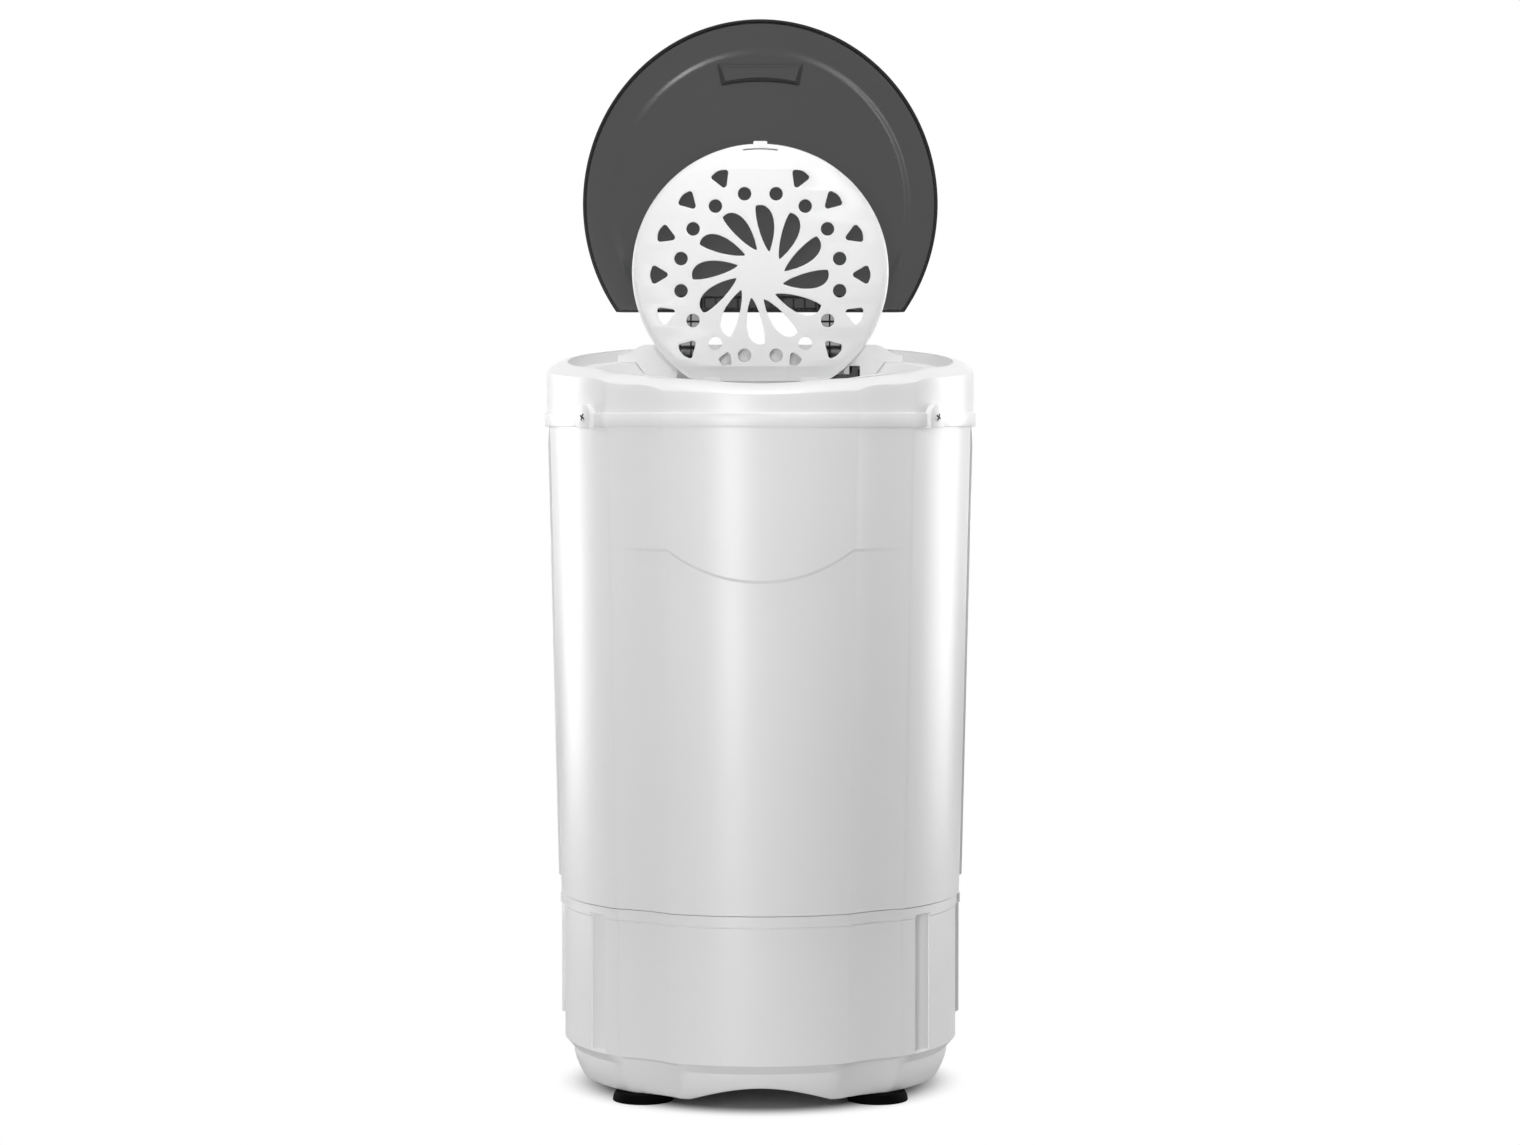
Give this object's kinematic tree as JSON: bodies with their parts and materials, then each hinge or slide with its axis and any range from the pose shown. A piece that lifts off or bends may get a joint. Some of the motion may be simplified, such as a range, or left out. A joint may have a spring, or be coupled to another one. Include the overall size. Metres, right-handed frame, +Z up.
{
  "type": "laundry spin dryer",
  "caption": "Upright laundry spin dryer: fluted tapered casing on rubber feet, sloping top cover, smoked outer lid and perforated inner lid hinged open at the rear.",
  "frame": {"origin": "on the floor, under the middle of the casing", "axes": "+Z up along the drum's axis, -Y towards the front, +X to the right seen from the front"},
  "size_m": [0.393, 0.3928, 0.9871],
  "materials": {
    "white_plastic": "smooth moulded, soft gloss",
    "smoked_plastic": "smoked translucent acrylic, polished",
    "black_rubber": "matt, finely ribbed",
    "screw_steel": "bright zinc plated",
    "drum_steel": "brushed stainless",
    "dark_plastic": "fine grain",
    "grey_plastic": "moulded, satin",
    "motor_steel": "plain paint",
    "lamination": "stacked laminations",
    "winding_copper": "enamelled copper wire",
    "capacitor_can": "drawn can",
    "lining": "friction material"
  },
  "bodies": {
    "housing": {"base_shell": "white_plastic", "bottom_panel": "white_plastic", "panel_screws": "screw_steel", "foot_front_left": "black_rubber", "foot_front_right": "black_rubber", "foot_rear_left": "black_rubber", "foot_rear_right": "black_rubber", "foot_screws": "screw_steel", "body_shell": "white_plastic", "top_cover": "white_plastic", "cover_screws": "screw_steel", "hinge_housing": "white_plastic", "housing_screws": "screw_steel", "lid_bumpers": "black_rubber", "lid_hinge_pins": "screw_steel", "inner_lid_pins": "screw_steel", "interlock_switch": "dark_plastic", "interlock_pin": "screw_steel", "outer_tub": "white_plastic", "tub_gasket": "black_rubber", "shaft_seal": "black_rubber", "drain_elbow": "grey_plastic", "drain_hose": "black_rubber", "drain_spigot": "grey_plastic", "hose_clamps": "screw_steel", "motor_plate": "motor_steel", "motor_mounts": "black_rubber", "motor_lower_bell": "motor_steel", "motor_upper_bell": "motor_steel", "motor_stator": "lamination", "stator_windings": "winding_copper", "motor_bolts": "screw_steel", "upper_bearing": "screw_steel", "lower_bearing": "screw_steel", "run_capacitor": "capacitor_can", "capacitor_clamp": "screw_steel", "cord_gland": "black_rubber", "brake_bracket": "screw_steel", "brake_spring": "screw_steel", "brake_cable": "black_rubber"},
    "drum": {"spin_drum": "drum_steel", "balance_ring": "white_plastic", "drum_hub": "grey_plastic", "hub_nut": "screw_steel", "drive_shaft": "screw_steel", "motor_rotor": "lamination", "cooling_fan": "dark_plastic", "brake_drum": "motor_steel"},
    "outer_lid": {"outer_lid": "smoked_plastic"},
    "inner_lid": {"inner_lid": "white_plastic"},
    "interlock": {"interlock_lever": "dark_plastic"},
    "brake": {"brake_lever": "screw_steel", "brake_lining": "lining"}
  },
  "joints": [
    {"name": "lid_hinge", "type": "hinge", "parent": "housing", "child": "outer_lid", "pos_m": [0, 0.142, 0.67], "axis": [1, 0, 0], "range_deg": [0, 98.7]},
    {"name": "inner_lid_hinge", "type": "hinge", "parent": "housing", "child": "inner_lid", "pos_m": [0, 0.104, 0.634], "axis": [1, 0, 0], "range_deg": [0, 94]},
    {"name": "drum_spin", "type": "hinge", "parent": "housing", "child": "drum", "pos_m": [0, 0, 0.3], "axis": [0, 0, 1], "continuous": true},
    {"name": "brake_pivot", "type": "hinge", "parent": "housing", "child": "brake", "pos_m": [0.058, -0.048, 0.165], "axis": [0, 0, 1], "range_deg": [-8.2, 0]},
    {"name": "interlock_pivot", "type": "hinge", "parent": "housing", "child": "interlock", "pos_m": [0.089, 0.124, 0.65], "axis": [1, 0, 0], "range_deg": [0, 10]}
  ],
  "couplings": [
    {"joint": "inner_lid_hinge", "follows": "lid_hinge", "ratio": 0.952},
    {"joint": "brake_pivot", "follows": "lid_hinge", "ratio": -0.083},
    {"joint": "interlock_pivot", "follows": "lid_hinge", "ratio": 0.1}
  ]
}
